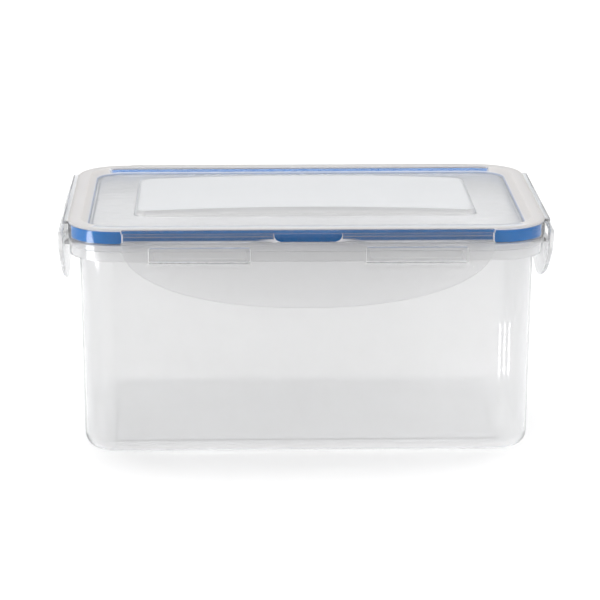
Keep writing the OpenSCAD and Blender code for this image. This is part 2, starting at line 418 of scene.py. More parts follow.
# %% The tree that sets ribs on two facing sides
def rib_tree():
    tree, given, result = new_tree("snap ribs on two sides", [
        ("Rib", "NodeSocketObject"), ("Spacing", "NodeSocketFloat"), ("Reach", "NodeSocketFloat"),
        ("Turn", "NodeSocketFloat"), ("Material", "NodeSocketMaterial"),
    ])
    spacing, reach = given.outputs["Spacing"], given.outputs["Reach"]
    low = node(tree, "ShaderNodeMath", [(0, spacing), (1, -1.0)], operation="MULTIPLY")
    start = node(tree, "ShaderNodeCombineXYZ", [(0, low.outputs[0]), (1, reach)])
    end = node(tree, "ShaderNodeCombineXYZ", [(0, spacing), (1, reach)])
    line = node(tree, "GeometryNodeMeshLine", [("Count", 2), ("Start Location", start.outputs[0]),
                                               ("Offset", end.outputs[0])], mode="END_POINTS")
    rib = node(tree, "GeometryNodeObjectInfo", [("Object", given.outputs["Rib"])])
    placed = node(tree, "GeometryNodeInstanceOnPoints", [("Points", line.outputs[0]),
                                                         ("Instance", rib.outputs["Geometry"])])
    sides = []
    for extra in (0.0, math.pi):
        angle = node(tree, "ShaderNodeMath", [(0, given.outputs["Turn"]), (1, extra)], operation="ADD")
        turn = node(tree, "ShaderNodeCombineXYZ", [(2, angle.outputs[0])])
        sides.append(node(tree, "GeometryNodeTransform", [("Geometry", placed.outputs[0]),
                                                          ("Rotation", turn.outputs[0])]))
    both = node(tree, "GeometryNodeJoinGeometry")
    for side in sides:
        tree.links.new(side.outputs[0], both.inputs[0])
    real = node(tree, "GeometryNodeRealizeInstances", [(0, both.outputs[0])])
    skin = node(tree, "GeometryNodeSetMaterial", [("Geometry", real.outputs[0]),
                                                  ("Material", given.outputs["Material"])])
    tree.links.new(skin.outputs[0], result.inputs[0])
    return tree


ribs_on_sides = rib_tree()
for label, width, spacing, reach, turn in (
    ("long", LONG_SNAP_W, LONG_SNAP_X, HALF_DEP, 0.0),
    ("short", SHORT_SNAP_W, SHORT_SNAP_X, HALF_LEN, math.pi / 2),
):
    rib = make_prism(label + "_rib", rib_profile, width - 2 * RIB_PLAY, 0.8)
    ribs = grown(label + "_ribs", ribs_on_sides, {
        "Rib": rib, "Spacing": spacing * MM, "Reach": reach * MM, "Turn": turn})
    bpy.data.objects.remove(rib)
    print(ribs.name, len(ribs.data.polygons), "faces")
    joined(tub, [ribs])
smooth(tub)

# %% [markdown]
# ## The lid
# The lid is a ring with an outer wall, a slope that drops to a sunk panel, and an inner rib
# that stands in the tub's mouth. The panel's middle rises again as a gently domed window.
# The rim is swept like the tub's. The middle is a plate whose height follows a rule: the
# distance to a rounded rectangle gives the shoulder, and a parabola gives the crown.

# %% The lid's section
LID_WALL = 1.2
RING_W = 5.3
PANEL_DROP = 2.1
PANEL_TOP = RING_TOP - PANEL_DROP
PANEL_UNDER = PANEL_TOP - 1.5
RING_UNDER = RING_TOP - 1.3
SLOPE_RUN = 3.4
PANEL_EDGE = RING_W + SLOPE_RUN
PLUG_OUT, PLUG_IN = PANEL_EDGE - 0.2, PANEL_EDGE + 1.0
PLUG_FOOT = LID_FOOT - 0.8
SLOPE_MARKS = (0.78, 0.7)
UNDER_MARKS = (0.1, 0.37, 0.45)


def lid_section():
    """The marks are extra points on the flat faces, where the finish may change from matt to clear."""
    slope_marks = [
        (-RING_W - SLOPE_RUN * t, RING_TOP - (RING_TOP - PANEL_TOP) * t, 0) for t in SLOPE_MARKS]
    under_marks = [
        (-RING_W + 0.2 - SLOPE_RUN * t, RING_UNDER - PANEL_DROP * t, 0) for t in UNDER_MARKS]
    return rounded([
        (-CORNER_R, PANEL_TOP, 0), (-PANEL_EDGE, PANEL_TOP, 0.9), *slope_marks, (-RING_W, RING_TOP, 0.5),
        (0, RING_TOP, 0.8), (0, LID_FOOT, 0.25), (-LID_WALL, LID_FOOT, 0.25),
        (-LID_WALL, RING_UNDER, 0.3), (-RING_W + 1.5, RING_UNDER, 0), (-RING_W + 1.2, RING_UNDER, 0),
        (-RING_W + 0.2, RING_UNDER, 0.1), *under_marks,
        (-PLUG_OUT, RING_UNDER - PANEL_DROP, 0.2), (-PLUG_OUT, PLUG_FOOT, 0.3), (-PLUG_IN, PLUG_FOOT, 0.3),
        (-PLUG_IN, PANEL_UNDER, 0.5), (-CORNER_R, PANEL_UNDER, 0),
    ], closed=False)


# %% [markdown]
# The window's rule needs a signed distance: how far a point lies outside a rounded
# rectangle, and below zero inside it. The same distance later tells where the lid is matt.

# %% The rule for the window's height
WINDOW_X, WINDOW_Y, WINDOW_R = 71.5, 32.5, 6.0
EDGE_RISE = RING_TOP + 0.2 - PANEL_TOP
CROWN = CROWN_TOP - RING_TOP - 0.2
SHOULDER = 1.3


def window_distance(x, y):
    """Distance outside the window's rounded rectangle, negative inside."""
    qx, qy = abs(x) - (WINDOW_X - WINDOW_R), abs(y) - (WINDOW_Y - WINDOW_R)
    outside = math.hypot(max(qx, 0), max(qy, 0))
    return outside + min(max(qx, qy), 0) - WINDOW_R


def window_rise(x, y, shrink=0.0):
    """Height above the panel. A smooth step makes the shoulder, and a parabola along x the crown."""
    t = min(max(-(window_distance(x, y) + shrink) / SHOULDER, 0), 1)
    share = t * t * (3 - 2 * t)
    return share * (EDGE_RISE + CROWN * (1 - (x / WINDOW_X) ** 2))


edge_rise = window_rise(WINDOW_X - 1.5, 0)
print("rise at the crown:", round(window_rise(0, 0), 2), "at the short edge:", round(edge_rise, 2))

# %% The lid's shell
FINE_BAND = 9.0


def make_lid():
    """The swept rim and two height-field plates. The plates' grid is fine near the window's shoulder."""
    def lines(run, shoulder):
        inner = spread(0, shoulder - FINE_BAND, 8)
        fine = spread(shoulder - FINE_BAND, shoulder + 0.4, 28)[1:]
        half = inner + fine + [run]
        return [-v for v in reversed(half[1:])] + half

    xs, ys = lines(RUN_X, WINDOW_X), lines(RUN_Y, WINDOW_Y)
    bm = bmesh.new()
    sweep(bm, lid_section(), stations(xs, ys), closed=False)
    for base, shrink in ((PANEL_TOP, 0.0), (PANEL_UNDER, LID_WALL * 0.6)):
        grid = []
        for x in xs:
            heights = [base + window_rise(x, y, shrink) for y in ys]
            grid.append([bm.verts.new((x * MM, y * MM, z * MM)) for y, z in zip(ys, heights)])
        for a, b in zip(grid, grid[1:]):
            for j in range(len(ys) - 1):
                bm.faces.new((a[j], b[j], b[j + 1], a[j + 1]))
    return as_object("lid_shell", bm)


lid = make_lid()

# %% [markdown]
# Each side of the lid has a ledge that carries a latch. A ledge is a short bar with rounded
# ends, and a boolean unites it with the wall, because it is the same moulding.

# %% Ledges
LEDGE_TOP = RING_TOP - 0.4
LEDGE_FOOT = LEDGE_TOP - 1.5
LEDGE_ROOT = -0.7
LONG_LATCH_W = (front_high.x - front_low.x) / MM
SHORT_LATCH_W = (right_high.y - right_low.y) / MM
SIDES = {
    "front": (180, HALF_DEP, LONG_LATCH_W, LONG_SNAP_W, LONG_SNAP_X),
    "rear": (0, HALF_DEP, LONG_LATCH_W, LONG_SNAP_W, LONG_SNAP_X),
    "left": (90, HALF_LEN, SHORT_LATCH_W, SHORT_SNAP_W, SHORT_SNAP_X),
    "right": (270, HALF_LEN, SHORT_LATCH_W, SHORT_SNAP_W, SHORT_SNAP_X),
}


def set_on_side(obj, side):
    """Moves a mesh made with x along and y outwards onto one side of the box."""
    turn, reach = math.radians(SIDES[side][0]), SIDES[side][1] * MM
    c, s = math.cos(turn), math.sin(turn)
    for v in obj.data.vertices:
        x, y = v.co.x, v.co.y + reach
        v.co = (x * c - y * s, x * s + y * c, v.co.z)
    return obj


ledge_profile = rounded([
    (LEDGE_ROOT, LEDGE_FOOT, 0), (LEDGE_OUT, LEDGE_FOOT, 0.25),
    (LEDGE_OUT, LEDGE_TOP, 0.5), (LEDGE_ROOT, LEDGE_TOP, 0),
], closed=True)
for side, (_, _, latch_w, _, _) in SIDES.items():
    ledge = make_prism(side + "_ledge", ledge_profile, latch_w, 0.5)
    joined(lid, [set_on_side(ledge, side)])
smooth(lid)

# %% [markdown]
# ## The gasket
# The gasket is an extruded silicone ring: one section all the way round, hollow so that it
# squashes easily. That is what Curve to Mesh is for. The tree draws the lid's outline with
# rounded corners, and carries the section round it. The section holds two loops, one for
# the skin and one, drawn the other way round, for the hollow.

# %% The gasket's section
SEAL_FOOT = LID_FOOT + 0.4
SEAL_TOP = gasket_high.z / MM
GROOVE_TOP = LIP_TOP + 0.3
SEAL_IN = PANEL_EDGE - 0.3
GROOVE_IN, GROOVE_OUT = 6.4, 4.4
CORE_IN, CORE_OUT, CORE_WALL = 6.7, 2.5, 0.9


def gasket_loops():
    """The skin, which fits the lid's channel and holds the tub's lip in a groove, and the hollow."""
    outer, bend = LID_WALL + 0.1, RING_W - 0.1
    inner_top = SEAL_TOP - (SEAL_IN - bend) * PANEL_DROP / SLOPE_RUN
    skin = rounded([
        (-outer, SEAL_FOOT, 0.5), (-outer, SEAL_TOP, 0.4), (-bend, SEAL_TOP, 0.4),
        (-SEAL_IN, inner_top, 0.3), (-SEAL_IN, SEAL_FOOT, 0.5), (-GROOVE_IN, SEAL_FOOT, 0.4),
        (-GROOVE_IN, GROOVE_TOP, 0.3), (-GROOVE_OUT, GROOVE_TOP, 0.3), (-GROOVE_OUT, SEAL_FOOT, 0.4),
    ], closed=True)
    hollow = rounded([
        (-CORE_OUT, GROOVE_TOP + CORE_WALL, 0.3), (-CORE_IN, GROOVE_TOP + CORE_WALL, 0.3),
        (-CORE_IN, GROOVE_TOP + 1.1, 0.1), (-bend, SEAL_TOP - CORE_WALL, 0.3),
        (-CORE_OUT, SEAL_TOP - CORE_WALL, 0.3),
    ], closed=True)
    return skin, hollow


def profile_curve(name, loops):
    """A flat curve object with one closed poly spline for each loop. The sweep turns its y downwards."""
    curve = bpy.data.curves.new(name, "CURVE")
    for loop in loops:
        spline = curve.splines.new("POLY")
        spline.points.add(len(loop) - 1)
        for point, p in zip(spline.points, reversed(loop)):
            point.co = (p[0] * MM, -p[1] * MM, 0, 1)
        spline.use_cyclic_u = True
    obj = bpy.data.objects.new(name, curve)
    bpy.context.collection.objects.link(obj)
    return obj


# %% The tree that carries a section round the lid's outline
def ring_tree():
    tree, given, result = new_tree("section round the outline", [
        ("Section", "NodeSocketObject"), ("Length", "NodeSocketFloat"), ("Depth", "NodeSocketFloat"),
        ("Corner radius", "NodeSocketFloat"), ("Corner steps", "NodeSocketInt"),
        ("Material", "NodeSocketMaterial"),
    ])
    outline = node(tree, "GeometryNodeCurvePrimitiveQuadrilateral", [
        ("Width", given.outputs["Length"]), ("Height", given.outputs["Depth"])])
    rounding = node(tree, "GeometryNodeFilletCurve", [
        ("Curve", outline.outputs[0]), ("Radius", given.outputs["Corner radius"]),
        ("Count", given.outputs["Corner steps"])], mode="POLY")
    section = node(tree, "GeometryNodeObjectInfo", [("Object", given.outputs["Section"])])
    swept = node(tree, "GeometryNodeCurveToMesh", [
        ("Curve", rounding.outputs[0]), ("Profile Curve", section.outputs["Geometry"])])
    real = node(tree, "GeometryNodeRealizeInstances", [(0, swept.outputs[0])])
    skin = node(tree, "GeometryNodeSetMaterial", [
        ("Geometry", real.outputs[0]), ("Material", given.outputs["Material"])])
    tree.links.new(skin.outputs[0], result.inputs[0])
    return tree


gasket_section = profile_curve("gasket_section", gasket_loops())
gasket = grown("gasket_ring", ring_tree(), {
    "Section": gasket_section, "Length": 2 * HALF_LEN * MM, "Depth": 2 * HALF_DEP * MM,
    "Corner radius": CORNER_R * MM, "Corner steps": 20})
bpy.data.objects.remove(gasket_section)
smooth(gasket)
reach = max(v.co.x for v in gasket.data.vertices)
print("gasket reaches", round(reach / MM, 2), "mm out, and the CAD one", round(gasket_high.x / MM, 2))

# %% [markdown]
# ## The latches
# A latch is a thin flap. Its free edge is a flattened arch, a superellipse, and two windows
# let the ribs through. Each edge of the flap and of the windows is a stack of loops, one
# inside the other, which gives rounded edges and a raised pad round each window. The flat
# faces between the loops are filled, and then the part below the windows is thinned
# towards its foot, after a cut straight across has given it an edge to start from.

# %% Loops for the latch
LATCH_IN = 2.4
LATCH_OUT = front_low.y / -MM - HALF_DEP
LATCH_FACE = LATCH_OUT - 0.35
LATCH_TAPER = 0.8
PAD_UNDER = 2.4
PAD_MARGIN = 3.0
NECK_T, NECK_SLOPE = 1.0, 0.9
LONG_ARCH, SHORT_ARCH = 2.2, 1.7
LATCH_TOP = front_high.z / MM


def latch_outline(width, drop, power, steps=72):
    """The flap's outline (along, height), anticlockwise from the top left corner."""
    points = []
    for i in range(steps + 1):
        a = math.pi * (1 - i / steps)
        c, s = math.cos(a), math.sin(a)
        along = math.copysign(abs(c) ** (2 / power), c) * width / 2
        points.append(Vector((along, LATCH_TOP - drop * s ** (2 / power))))
    return points


def frame_loop(low_x, high_x, low_z, high_z, r):
    """A rounded rectangle, anticlockwise."""
    corners = ((low_x, low_z), (high_x, low_z), (high_x, high_z), (low_x, high_z))
    return rounded([(x, z, r) for x, z in corners], True)


def inset(loop, d):
    """The loop moved inwards by d, or outwards where d is negative."""
    moved = []
    for i, here in enumerate(loop):
        a, b = (here - loop[i - 1]).normalized(), (loop[(i + 1) % len(loop)] - here).normalized()
        n1, n2 = Vector((-a.y, a.x)), Vector((-b.y, b.x))
        moved.append(here + (n1 + n2) * (d / max(1 + n1.dot(n2), 0.4)))
    return moved


def stack(bm, rows):
    """Joins loops of equal length into walls. A row is (points, distance outwards)."""
    made = [[bm.verts.new((p.x * MM, out * MM, p.y * MM)) for p in loop] for loop, out in rows]
    for a, b in zip(made, made[1:]):
        for j in range(len(a)):
            k = (j + 1) % len(a)
            bm.faces.new((a[j], a[k], b[k], b[j]))
    return made[0], made[-1]


def fill(bm, loops):
    """Fills the face inside the first loop and outside the others."""
    edges = []
    for loop in loops:
        for a, b in zip(loop, loop[1:] + loop[:1]):
            edges.append(bm.edges.get((a, b)) or bm.edges.new((a, b)))
    bmesh.ops.triangle_fill(bm, edges=edges, use_beauty=True)


# %% The latch mesh
def make_latch(side):
    """One flap. Its thin neck widens below the straps, and it thins again towards its foot."""
    _, _, width, snap_w, snap_x = SIDES[side]
    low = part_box(side + "_latch")[0]
    drop = LATCH_TOP - low.z / MM
    bm = bmesh.new()
    edge = latch_outline(width, drop, LONG_ARCH if side in ("front", "rear") else SHORT_ARCH)
    faces = [stack(bm, [
        (inset(edge, 0.3), LATCH_IN), (inset(edge, 0.08), LATCH_IN + 0.08), (edge, LATCH_IN + 0.3),
        (edge, LATCH_FACE - 0.35), (inset(edge, 0.1), LATCH_FACE - 0.1), (inset(edge, 0.35), LATCH_FACE),
    ])]
    for s in (-1, 1):
        low_x, high_x = s * snap_x - snap_w / 2, s * snap_x + snap_w / 2
        window = frame_loop(low_x, high_x, SNAP_FOOT, SNAP_TOP, 0.8)
        pad_foot, pad_top = SNAP_FOOT - PAD_UNDER + 0.3, SNAP_TOP + 0.55
        pad = frame_loop(low_x - PAD_MARGIN, high_x + PAD_MARGIN, pad_foot, pad_top, 1.2)
        faces.append(stack(bm, [
            (inset(window, -0.25), LATCH_IN), (window, LATCH_IN + 0.25), (window, LATCH_OUT - 0.3),
            (inset(window, -0.09), LATCH_OUT - 0.09), (inset(window, -0.3), LATCH_OUT),
            (inset(pad, 0.35), LATCH_OUT), (pad, LATCH_FACE),
        ]))
    fill(bm, [inner for inner, _ in faces])
    fill(bm, [outer for _, outer in faces])
    bend = SNAP_FOOT - PAD_UNDER
    bmesh.ops.bisect_plane(bm, geom=bm.verts[:] + bm.edges[:] + bm.faces[:], dist=1e-7,
                           plane_co=(0, 0, bend * MM), plane_no=(0, 0, 1))
    for v in bm.verts:
        z = v.co.z / MM
        v.co.y = min(v.co.y, (LATCH_IN + NECK_T + NECK_SLOPE * (LATCH_TOP - z)) * MM)
        thinner = LATCH_TAPER * max(bend - z, 0) / (bend - LATCH_TOP + drop)
        v.co.y = LATCH_IN * MM + (v.co.y - LATCH_IN * MM) * (1 - thinner / (LATCH_FACE - LATCH_IN))
    return set_on_side(as_object(side + "_flap", bm, merge=1e-7), side)


flaps = {side: make_latch(side) for side in SIDES}
print("flaps:", sorted(flaps), "each", round(LATCH_OUT - LATCH_IN, 2), "mm thick at the pads")

# %% [markdown]
# Under each window sit two short ribs that stiffen the flap there. They are one small
# solid repeated, so the tree that sets the tub's snap ribs sets these too. It sets them on
# two facing sides, and those on the far side are deleted.

# %% Stiffening ribs under the windows
STIFFENER_W, STIFFENER_H, STIFFENER_PROUD, STIFFENER_ROOT = 0.8, 2.8, 0.3, -0.4
STIFFENER_X = 11.0
TAPER_RUN = 17
stiffener_profile = rounded([
    (STIFFENER_ROOT, 0, 0), (STIFFENER_PROUD - 0.1, 0, 0.15),
    (STIFFENER_PROUD, STIFFENER_H, 0.15), (STIFFENER_ROOT, STIFFENER_H, 0)], closed=True, steps=2)
stiffener = make_prism("stiffener", stiffener_profile, STIFFENER_W, 0.2)
stiffener_top = SNAP_FOOT - PAD_UNDER - 0.3
for v in stiffener.data.vertices:
    v.co.z += (stiffener_top - STIFFENER_H) * MM
    v.co.y -= LATCH_TAPER * (stiffener_top - v.co.z / MM) / TAPER_RUN * MM
for side, flap in flaps.items():
    turn, reach, _, _, snap_x = SIDES[side]
    for near in (snap_x - STIFFENER_X, snap_x + STIFFENER_X):
        row = grown("stiffeners", ribs_on_sides, {
            "Rib": stiffener, "Spacing": near * MM, "Reach": (reach + LATCH_FACE) * MM,
            "Turn": math.radians(turn)})
        bm = bmesh.new()
        bm.from_mesh(row.data)
        away = Vector((math.sin(math.radians(turn)), -math.cos(math.radians(turn)), 0))
        bmesh.ops.delete(bm, geom=[v for v in bm.verts if v.co.dot(away) > 0], context="VERTS")
        bm.to_mesh(row.data)
        bm.free()
        joined(flap, [row])
bpy.data.objects.remove(stiffener)
latches = {side: smooth(flap, 50) for side, flap in flaps.items()}

# %% [markdown]
# ## The hinge straps
# Each latch hangs on two thin straps with a gap between them. A strap has two thin lines
# moulded across it, where it bends. It belongs to the lid at its top and to the latch at its
# foot. It is made as a small grid of rows, and it is put on neither body here.

# %% Straps
STRAP_TOP = strap_high.z / MM
STRAP_FOOT = strap_low.z / MM
STRAP_T = 0.6
GROOVE_DEPTH = 0.28
MIDDLE_TOP, MIDDLE_FOOT = 1.85, 2.8
MOULDED_LINES = (STRAP_TOP - 1.1, STRAP_FOOT + 0.35)
NOTCH_HALF = 13.8
NOTCH_R = 2.7


def strap_rows(count=20):
    """Height, inner face and outer face of each row of a strap."""
    rows = []
    for i in range(count + 1):
        t = i / count
        z = STRAP_TOP + 0.04 - (STRAP_TOP - STRAP_FOOT + 0.08) * t
        inner = MIDDLE_TOP + 0.95 * t - STRAP_T / 2
        groove = sum(math.exp(-((z - line) / 0.16) ** 2) for line in MOULDED_LINES)
        rows.append((z, inner, inner + (STRAP_T - GROOVE_DEPTH * groove)))
    return rows


def notch_edge(z):
    """Where a strap ends beside the notch, which is rounded at its foot."""
    up = min(max(z - STRAP_FOOT, 0), NOTCH_R)
    return NOTCH_HALF - NOTCH_R + math.sqrt(NOTCH_R ** 2 - (NOTCH_R - up) ** 2)


def make_straps(side):
    """Both straps of one side, each a closed grid with one ring of vertices for each row."""
    width = SIDES[side][2]
    bm = bmesh.new()
    for s in (-1, 1):
        grid = []
        for z, inner, outer in strap_rows():
            near, far = notch_edge(z), width / 2 - 0.4
            xs = [near, near + 0.4] + spread(near + 0.7, far - 0.7, 8) + [far - 0.4, far]
            ring = [(x, outer) for x in xs] + [(x, inner) for x in reversed(xs)]
            grid.append([bm.verts.new((s * x * MM, o * MM, z * MM)) for x, o in ring])
        for a, b in zip(grid, grid[1:]):
            for j in range(len(a)):
                k = (j + 1) % len(a)
                bm.faces.new((a[j], a[k], b[k], b[j]))
        bm.faces.new(grid[0])
        bm.faces.new(grid[-1])
    return set_on_side(as_object(side + "_straps", bm, merge=1e-7), side)


straps = {side: smooth(make_straps(side), 50) for side in SIDES}

# %% [markdown]
# ## Milky plastic
# Natural polypropylene is not as clear as glass: tiny crystals in it scatter some light, so
# a wall looks faintly milky and blurs what lies behind it. Each wall is a closed solid with
# two skins. At each skin most light refracts with a slight blur, a share is scattered
# forwards and back, and some mirrors the room. The scatter is a little bluer at a slant,
# where the light's way through the wall is longer. Fine waves left by the flow of the
# plastic and a fine grain disturb the mirroring. Rays from lamps pass straight through,
# dimmed, so that what stands behind a wall isn't left in the dark.

# %% What the plastic's skin is like
FLOW_SCALE, GRAIN_SCALE = 45.0, 900.0


def noise(tree, scale, detail):
    """Noise in the object's own coordinates."""
    place = node(tree, "ShaderNodeTexCoord")
    return node(tree, "ShaderNodeTexNoise", [
        ("Vector", place.outputs["Object"]), ("Scale", scale), ("Detail", detail)]).outputs[0]


def skin_relief(tree, strength):
    """Long flow waves and a fine grain. Returns the normal, the waves and the grain."""
    flow, fine = noise(tree, FLOW_SCALE, 2.0), noise(tree, GRAIN_SCALE, 3.0)
    waves = node(tree, "ShaderNodeBump", [("Strength", strength), ("Distance", 0.004), ("Height", flow)])
    skin = node(tree, "ShaderNodeBump", [
        ("Strength", strength * 0.5), ("Distance", 0.0002), ("Height", fine), ("Normal", waves.outputs[0])])
    return skin.outputs[0], flow, fine


def between(tree, value, low, high, to_low, to_high):
    """A value carried from one range to another, and held at its ends."""
    return node(tree, "ShaderNodeMapRange", [
        ("Value", value), ("From Min", low), ("From Max", high),
        ("To Min", to_low), ("To Max", to_high)]).outputs[0]


def combine(tree, a, b, operation):
    """A sum, a product or the larger of two values."""
    return node(tree, "ShaderNodeMath", [(0, a), (1, b)], operation=operation).outputs[0]


# %% [markdown]
# One function makes all four plastics, with the amount of haze and blur as its arguments.
# Some mouldings are matt in places. Where the mesh carries a "matt" attribute the skin
# scatters more, mirrors less sharply, and throws more light back than it lets through.
# Where it is most matt, its colour is also painted darker and warmer. This is painted shade
# that keeps the ring's top and slopes from glaring under the light from overhead.

# %% A milky plastic
PLASTIC_IOR = 1.49
CLEAR_TINT = (0.945, 0.945, 0.947, 1)
MILK = (0.92, 0.92, 0.92, 1)
SLANT_MILK = (0.88, 0.91, 0.95, 1)
# Painted shade: the colour on the next line is a darker, warmer scatter colour for the most matt places, so
# that the ring's top and slopes don't glare under the overhead light.
ETCHED_PAINTED_SHADE = (0.77, 0.745, 0.72, 1)
ETCHED_FROM = (0.7, 0.85)
RELIEF = 0.03


def mixed_colour(tree, share, first, second):
    """Two colours mixed by a value. Either can be a plain colour or another node's output."""
    made = node(tree, "ShaderNodeMix", [("Factor", share), (6, first), (7, second)], data_type="RGBA")
    return made.outputs[2]


def mixed_shader(tree, share, first, second):
    return node(tree, "ShaderNodeMixShader", [(0, share), (1, first.outputs[0]), (2, second.outputs[0])])


def milky_plastic(name, haze, blur, gloss, lamps_pass, mirror=1.0, has_matt=True):
    """haze: share scattered at a skin. blur and gloss: roughness of what passes and what is mirrored.

    lamps_pass: how much of a lamp's light goes through a skin. mirror: how strongly the skin mirrors.
    """
    material = bpy.data.materials.new(name)
    material.use_nodes = True
    tree = material.node_tree
    tree.nodes.clear()
    normal, flow, fine = skin_relief(tree, RELIEF)
    share = between(tree, flow, 0.0, 1.0, haze * 0.95, haze * 1.05)
    mirror_blur = between(tree, fine, 0.0, 1.0, gloss * 0.5, gloss * 1.5)
    way_blur = between(tree, flow, 0.0, 1.0, blur * 0.9, blur * 1.1)
    onwards = 0.5
    slant = node(tree, "ShaderNodeLayerWeight", [("Blend", 0.5)])
    slanted = between(tree, slant.outputs["Facing"], 0.3, 1.0, 0.0, 1.0)
    milk = mixed_colour(tree, slanted, MILK, SLANT_MILK)
    if has_matt:
        matt = node(tree, "ShaderNodeAttribute", attribute_name="matt").outputs["Fac"]
        onwards = between(tree, matt, *ETCHED_FROM, 0.5, 0.36)
        share = combine(tree, share, matt, "MAXIMUM")
        mirror_blur = combine(tree, mirror_blur, combine(tree, matt, 0.3, "MULTIPLY"), "ADD")
        way_blur = combine(tree, way_blur, combine(tree, matt, 0.15, "MULTIPLY"), "ADD")
        # Painted shade: the most matt places take the darker, warmer colour, which holds down the overhead
        # light falling on the ring's top and slopes.
        milk = mixed_colour(tree, between(tree, matt, *ETCHED_FROM, 0.0, 1.0), milk, ETCHED_PAINTED_SHADE)
    through = node(tree, "ShaderNodeBsdfRefraction", [
        ("Color", CLEAR_TINT), ("IOR", PLASTIC_IOR), ("Roughness", way_blur), ("Normal", normal)])
    front = node(tree, "ShaderNodeBsdfDiffuse", [("Color", milk), ("Normal", normal)])
    back = node(tree, "ShaderNodeBsdfTranslucent", [("Color", milk), ("Normal", normal)])
    bulk = mixed_shader(tree, share, through, mixed_shader(tree, onwards, front, back))
    fresnel = node(tree, "ShaderNodeFresnel", [("IOR", PLASTIC_IOR), ("Normal", normal)])
    mirrored = combine(tree, fresnel.outputs[0], mirror, "MULTIPLY")
    shine = node(tree, "ShaderNodeBsdfAnisotropic", [
        ("Color", (1, 1, 1, 1)), ("Roughness", mirror_blur), ("Normal", normal)])
    skin = mixed_shader(tree, mirrored, bulk, shine)
    ray = node(tree, "ShaderNodeLightPath")
    dimmed = node(tree, "ShaderNodeBsdfTransparent", [("Color", (lamps_pass, lamps_pass, lamps_pass, 1))])
    whole = mixed_shader(tree, ray.outputs["Is Shadow Ray"], skin, dimmed)
    node(tree, "ShaderNodeOutputMaterial", [(0, whole.outputs[0])])
    return material


tub_plastic = milky_plastic("tub_plastic", haze=0.32, blur=0.14, gloss=0.06, lamps_pass=0.8, has_matt=False)
print("nodes in a plastic:", len(tub_plastic.node_tree.nodes))

# %% [markdown]
# The lid's mould is polished where the blue gasket shows through: on the outer wall, and on
# the slope along the rear. It is etched on the window, on top of the ring and on the other
# slopes, and those come out frosted. How matt a place is follows its distance from the
# lid's edge, so a rule works it out for each vertex, from 0 for polished to 1 for fully
# etched. It is kept as an attribute, and the material reads it.

# %% How matt the lid is at each place
# Values from 0.7 up also blend painted shade into the plastic's colour, and from 0.85 it is full.
POLISHED, SATIN, ETCHED, SLOPE_ETCHED = 0.0, 0.3, 0.85, 0.96
WINDOW_MATT = 0.55
CUT_END = 0.7
SLOPE_POLISHED, UNDER_POLISHED = 0.74, 1.3


def matt_share(x, y, z):
    """How matt the lid is at a place in mm."""
    qx, qy = abs(x) - RUN_X, abs(y) - RUN_Y
    out = math.hypot(max(qx, 0), max(qy, 0)) + min(max(qx, qy), 0) - CORNER_R
    if out > 0.1:
        if LONG_LATCH_W / 2 - 0.45 < abs(x) < RUN_X:
            return CUT_END
        return SATIN if abs(x) > HALF_LEN else 0.05
    if window_distance(x, y) < -0.4:
        return WINDOW_MATT
    if z < LID_FOOT + 0.2 or out < 0.3 - PANEL_EDGE:
        return SATIN
    if out < -RING_W + (UNDER_POLISHED if z < RING_UNDER + 0.05 else 0.1):
        rear = y > 0 and abs(x) < RUN_X + 6
        return POLISHED if rear and out > -RING_W - SLOPE_RUN * SLOPE_POLISHED else SLOPE_ETCHED
    if out < -RING_W + 0.4 and y < 0 and abs(x) < RUN_X + 8:
        return 0.35
    return ETCHED if z > RING_TOP - 0.75 or out < -LID_WALL - 0.3 else POLISHED


def mark_matt(obj, rule):
    """Works a rule out at every vertex and keeps the result as an attribute."""
    matt = obj.data.attributes.new("matt", "FLOAT", "POINT")
    values = [rule(*(v.co / MM)) for v in obj.data.vertices]
    matt.data.foreach_set("value", values)
    print(obj.name, "matt from", round(min(values), 2), "to", round(max(values), 2))


mark_matt(lid, matt_share)
lid_plastic = milky_plastic("lid_plastic", haze=0.008, blur=0.05, gloss=0.07, lamps_pass=0.7, mirror=0.5)

# %% [markdown]
# A latch is clear where it lies against the tub. The cut sides of its windows catch the
# light, and the side latches are moulded a little milkier than the long ones.

# %% The latches' plastic
def flap_matt(x, y, z):
    """How matt a latch is at a place in mm."""
    side = abs(x) > HALF_LEN
    along = abs(y) if side else abs(x)
    width, middle = (SHORT_SNAP_W, SHORT_SNAP_X) if side else (LONG_SNAP_W, LONG_SNAP_X)
    past_x = abs(along - middle) - width / 2
    past_z = abs(z - (SNAP_FOOT + SNAP_TOP) / 2) - (SNAP_TOP - SNAP_FOOT) / 2
    if max(past_x, past_z) < 0.12 and z < SNAP_TOP - 0.1:
        return CUT_END
    if z > LATCH_TOP - 0.3 and along < NOTCH_HALF:
        return 0.8
    if side:
        return CUT_END if along > SHORT_LATCH_W * 0.36 else 0.5
    return POLISHED


for flap in latches.values():
    mark_matt(flap, flap_matt)
latch_plastic = milky_plastic("latch_plastic", haze=0.13, blur=0.03, gloss=0.07, lamps_pass=0.7)

# %% [markdown]
# The straps are thin and nearly clear, but their cut ends catch the light as white lines,
# and so do the two lines moulded across them.

# %% The straps' plastic
def strap_matt(x, y, z):
    """How matt a strap is at a place in mm."""
    along, width = (abs(x), LONG_LATCH_W) if abs(y) > HALF_DEP else (abs(y), SHORT_LATCH_W)
    if along > width / 2 - 0.85 or along < NOTCH_HALF + 0.1:
        return CUT_END
    return 0.4 if min(abs(z - line) for line in MOULDED_LINES) < 0.1 else 0.03


for pair in straps.values():
    mark_matt(pair, strap_matt)
strap_plastic = milky_plastic("strap_plastic", haze=0.01, blur=0.03, gloss=0.07, lamps_pass=0.85, mirror=0.5)

# %% [markdown]
# ## Blue silicone
# The gasket is soft silicone coloured through. Its skin is satin, with a faint grain from
# the mould, and a little light goes in and comes out again, which subsurface gives.

# %% Blue silicone
DEEP_BLUE = (0.001, 0.155, 0.5, 1)
PALE_BLUE = (0.002, 0.195, 0.58, 1)


